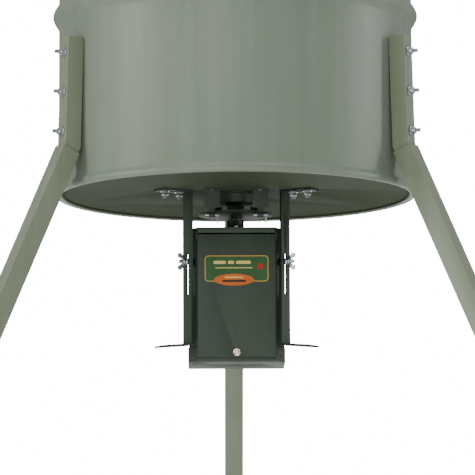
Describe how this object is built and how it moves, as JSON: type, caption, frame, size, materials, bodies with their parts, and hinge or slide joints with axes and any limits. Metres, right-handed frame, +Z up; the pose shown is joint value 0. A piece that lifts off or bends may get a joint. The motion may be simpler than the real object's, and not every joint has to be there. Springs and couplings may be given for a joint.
{
  "type": "spin cast feeder",
  "caption": "Tripod game feeder: steel drum hopper with a bottom outlet, and a slung sheet steel control box with spinner, motor, timer, battery and hinged door.",
  "frame": {"origin": "on the ground at the middle of the object's box", "axes": "+Z up, -Y towards the box's door, the drum's axis parallel to Z"},
  "size_m": [1.9432, 1.695, 2.4931],
  "materials": {
    "drum_paint": "satin olive enamel",
    "leg_paint": "satin olive enamel",
    "under_paint": "satin dark olive enamel",
    "unit_paint": "satin dark green powder coat",
    "zinc": "bright zinc plate",
    "wing_zinc": "zinc plated casting and wire",
    "dark_steel": "black oxide",
    "galvanised": "galvanised sheet",
    "motor_steel": "plated steel",
    "rubber_black": "matt",
    "battery_plastic": "textured ABS",
    "brass_terminal": "bright",
    "red_lead": "PVC",
    "black_lead": "PVC",
    "timer_plastic": "moulded ABS",
    "screen_glass": "LCD window",
    "button_plastic": "moulded",
    "chrome_bits": "polished",
    "label_print": "printed vinyl",
    "lock_metal": "polished"
  },
  "bodies": {
    "hopper": {"drum_body": "drum_paint", "drum_bottom": "under_paint", "outlet_spout": "unit_paint", "spout_rivets": "zinc", "leg_bracket_left": "leg_paint", "leg_bracket_right": "leg_paint", "leg_bracket_rear": "leg_paint", "leg_tube_left": "leg_paint", "leg_tube_right": "leg_paint", "leg_tube_rear": "leg_paint", "leg_foot_left": "leg_paint", "leg_foot_right": "leg_paint", "leg_foot_rear": "leg_paint", "leg_bolts": "zinc", "leg_nuts": "zinc", "hanger_strap_left": "unit_paint", "hanger_strap_right": "unit_paint", "hanger_strap_rear": "unit_paint", "hanger_bolts": "zinc", "hanger_nuts": "zinc", "guard_tabs": "unit_paint", "guard_pins": "wing_zinc"},
    "clip_left": {"hitch_clip_left": "wing_zinc"},
    "clip_right": {"hitch_clip_right": "wing_zinc"},
    "lid": {"lid_shell": "drum_paint", "lid_brackets": "galvanised"},
    "lid_handle": {"lid_handle": "galvanised"},
    "unit": {"box_shell": "unit_paint", "box_hood": "unit_paint", "box_base": "unit_paint", "corner_rivets": "unit_paint", "hinge_rod": "zinc", "inner_panel": "galvanised", "clamp_bolts": "zinc", "jam_nuts": "dark_steel", "motor_case": "motor_steel", "motor_screws": "zinc", "motor_bush": "rubber_black", "battery_case": "battery_plastic", "battery_terminals": "brass_terminal", "battery_leads": "red_lead", "motor_leads": "black_lead", "timer_case": "timer_plastic", "timer_screen": "screen_glass"},
    "wing_left": {"wing_nut_left": "wing_zinc"},
    "wing_right": {"wing_nut_right": "wing_zinc"},
    "wing_rear": {"wing_nut_rear": "wing_zinc"},
    "spinner": {"motor_shaft": "motor_steel", "spinner_hub": "unit_paint", "spinner_screw": "galvanised", "spinner_plate": "unit_paint"},
    "button_left": {"timer_button_left": "button_plastic"},
    "button_middle": {"timer_button_middle": "button_plastic"},
    "button_right": {"timer_button_right": "button_plastic"},
    "switch": {"power_switch": "chrome_bits"},
    "door": {"door_panel": "unit_paint", "door_label": "label_print", "lock_barrel": "lock_metal"},
    "lock": {"lock_plug": "lock_metal", "lock_cam": "lock_metal"}
  },
  "joints": [
    {"name": "unit_height", "type": "slide", "parent": "hopper", "child": "unit", "axis": [0, 0, 1], "range_m": [-0.048, 0.002]},
    {"name": "spinner_spin", "type": "hinge", "parent": "unit", "child": "spinner", "pos_m": [0, -0.26748, 1.56466], "axis": [0, 0, 1], "continuous": true},
    {"name": "door_hinge", "type": "hinge", "parent": "unit", "child": "door", "pos_m": [0, -0.31799, 1.53616], "axis": [-1, 0, 0], "range_deg": [0, 90]},
    {"name": "lock_turn", "type": "hinge", "parent": "door", "child": "lock", "pos_m": [0, -0.31749, 1.34806], "axis": [0, 1, 0], "range_deg": [0, 90]},
    {"name": "lid_lift", "type": "slide", "parent": "hopper", "child": "lid", "axis": [0, 0, 1], "range_m": [0, 0.2]},
    {"name": "lid_handle_hinge", "type": "hinge", "parent": "lid", "child": "lid_handle", "pos_m": [0, -0.23949, 2.48716], "axis": [-1, 0, 0], "range_deg": [0, 90]},
    {"name": "wing_left_turn", "type": "hinge", "parent": "unit", "child": "wing_left", "pos_m": [-0.08314, -0.31549, 1.49466], "axis": [-0.866, -0.5, 0], "continuous": true},
    {"name": "wing_right_turn", "type": "hinge", "parent": "unit", "child": "wing_right", "pos_m": [0.08314, -0.31549, 1.49466], "axis": [0.866, -0.5, 0], "continuous": true},
    {"name": "wing_rear_turn", "type": "hinge", "parent": "unit", "child": "wing_rear", "pos_m": [0, -0.17148, 1.49466], "axis": [0, 1, 0], "continuous": true},
    {"name": "clip_left_swing", "type": "hinge", "parent": "hopper", "child": "clip_left", "pos_m": [-0.0304, -0.32628, 1.56866], "axis": [0, 1, 0], "range_deg": [-30, 30]},
    {"name": "clip_right_swing", "type": "hinge", "parent": "hopper", "child": "clip_right", "pos_m": [0.0476, -0.32628, 1.56866], "axis": [0, 1, 0], "range_deg": [-30, 30]},
    {"name": "button_left_press", "type": "slide", "parent": "unit", "child": "button_left", "axis": [0, 1, 0], "range_m": [0, 0.001], "stiffness_N_per_m": 400, "springref_m": -0.0005},
    {"name": "button_middle_press", "type": "slide", "parent": "unit", "child": "button_middle", "axis": [0, 1, 0], "range_m": [0, 0.001], "stiffness_N_per_m": 400, "springref_m": -0.0005},
    {"name": "button_right_press", "type": "slide", "parent": "unit", "child": "button_right", "axis": [0, 1, 0], "range_m": [0, 0.001], "stiffness_N_per_m": 400, "springref_m": -0.0005},
    {"name": "switch_toggle", "type": "hinge", "parent": "unit", "child": "switch", "pos_m": [0.032, -0.30489, 1.49466], "axis": [1, 0, 0], "range_deg": [-15, 15]}
  ]
}
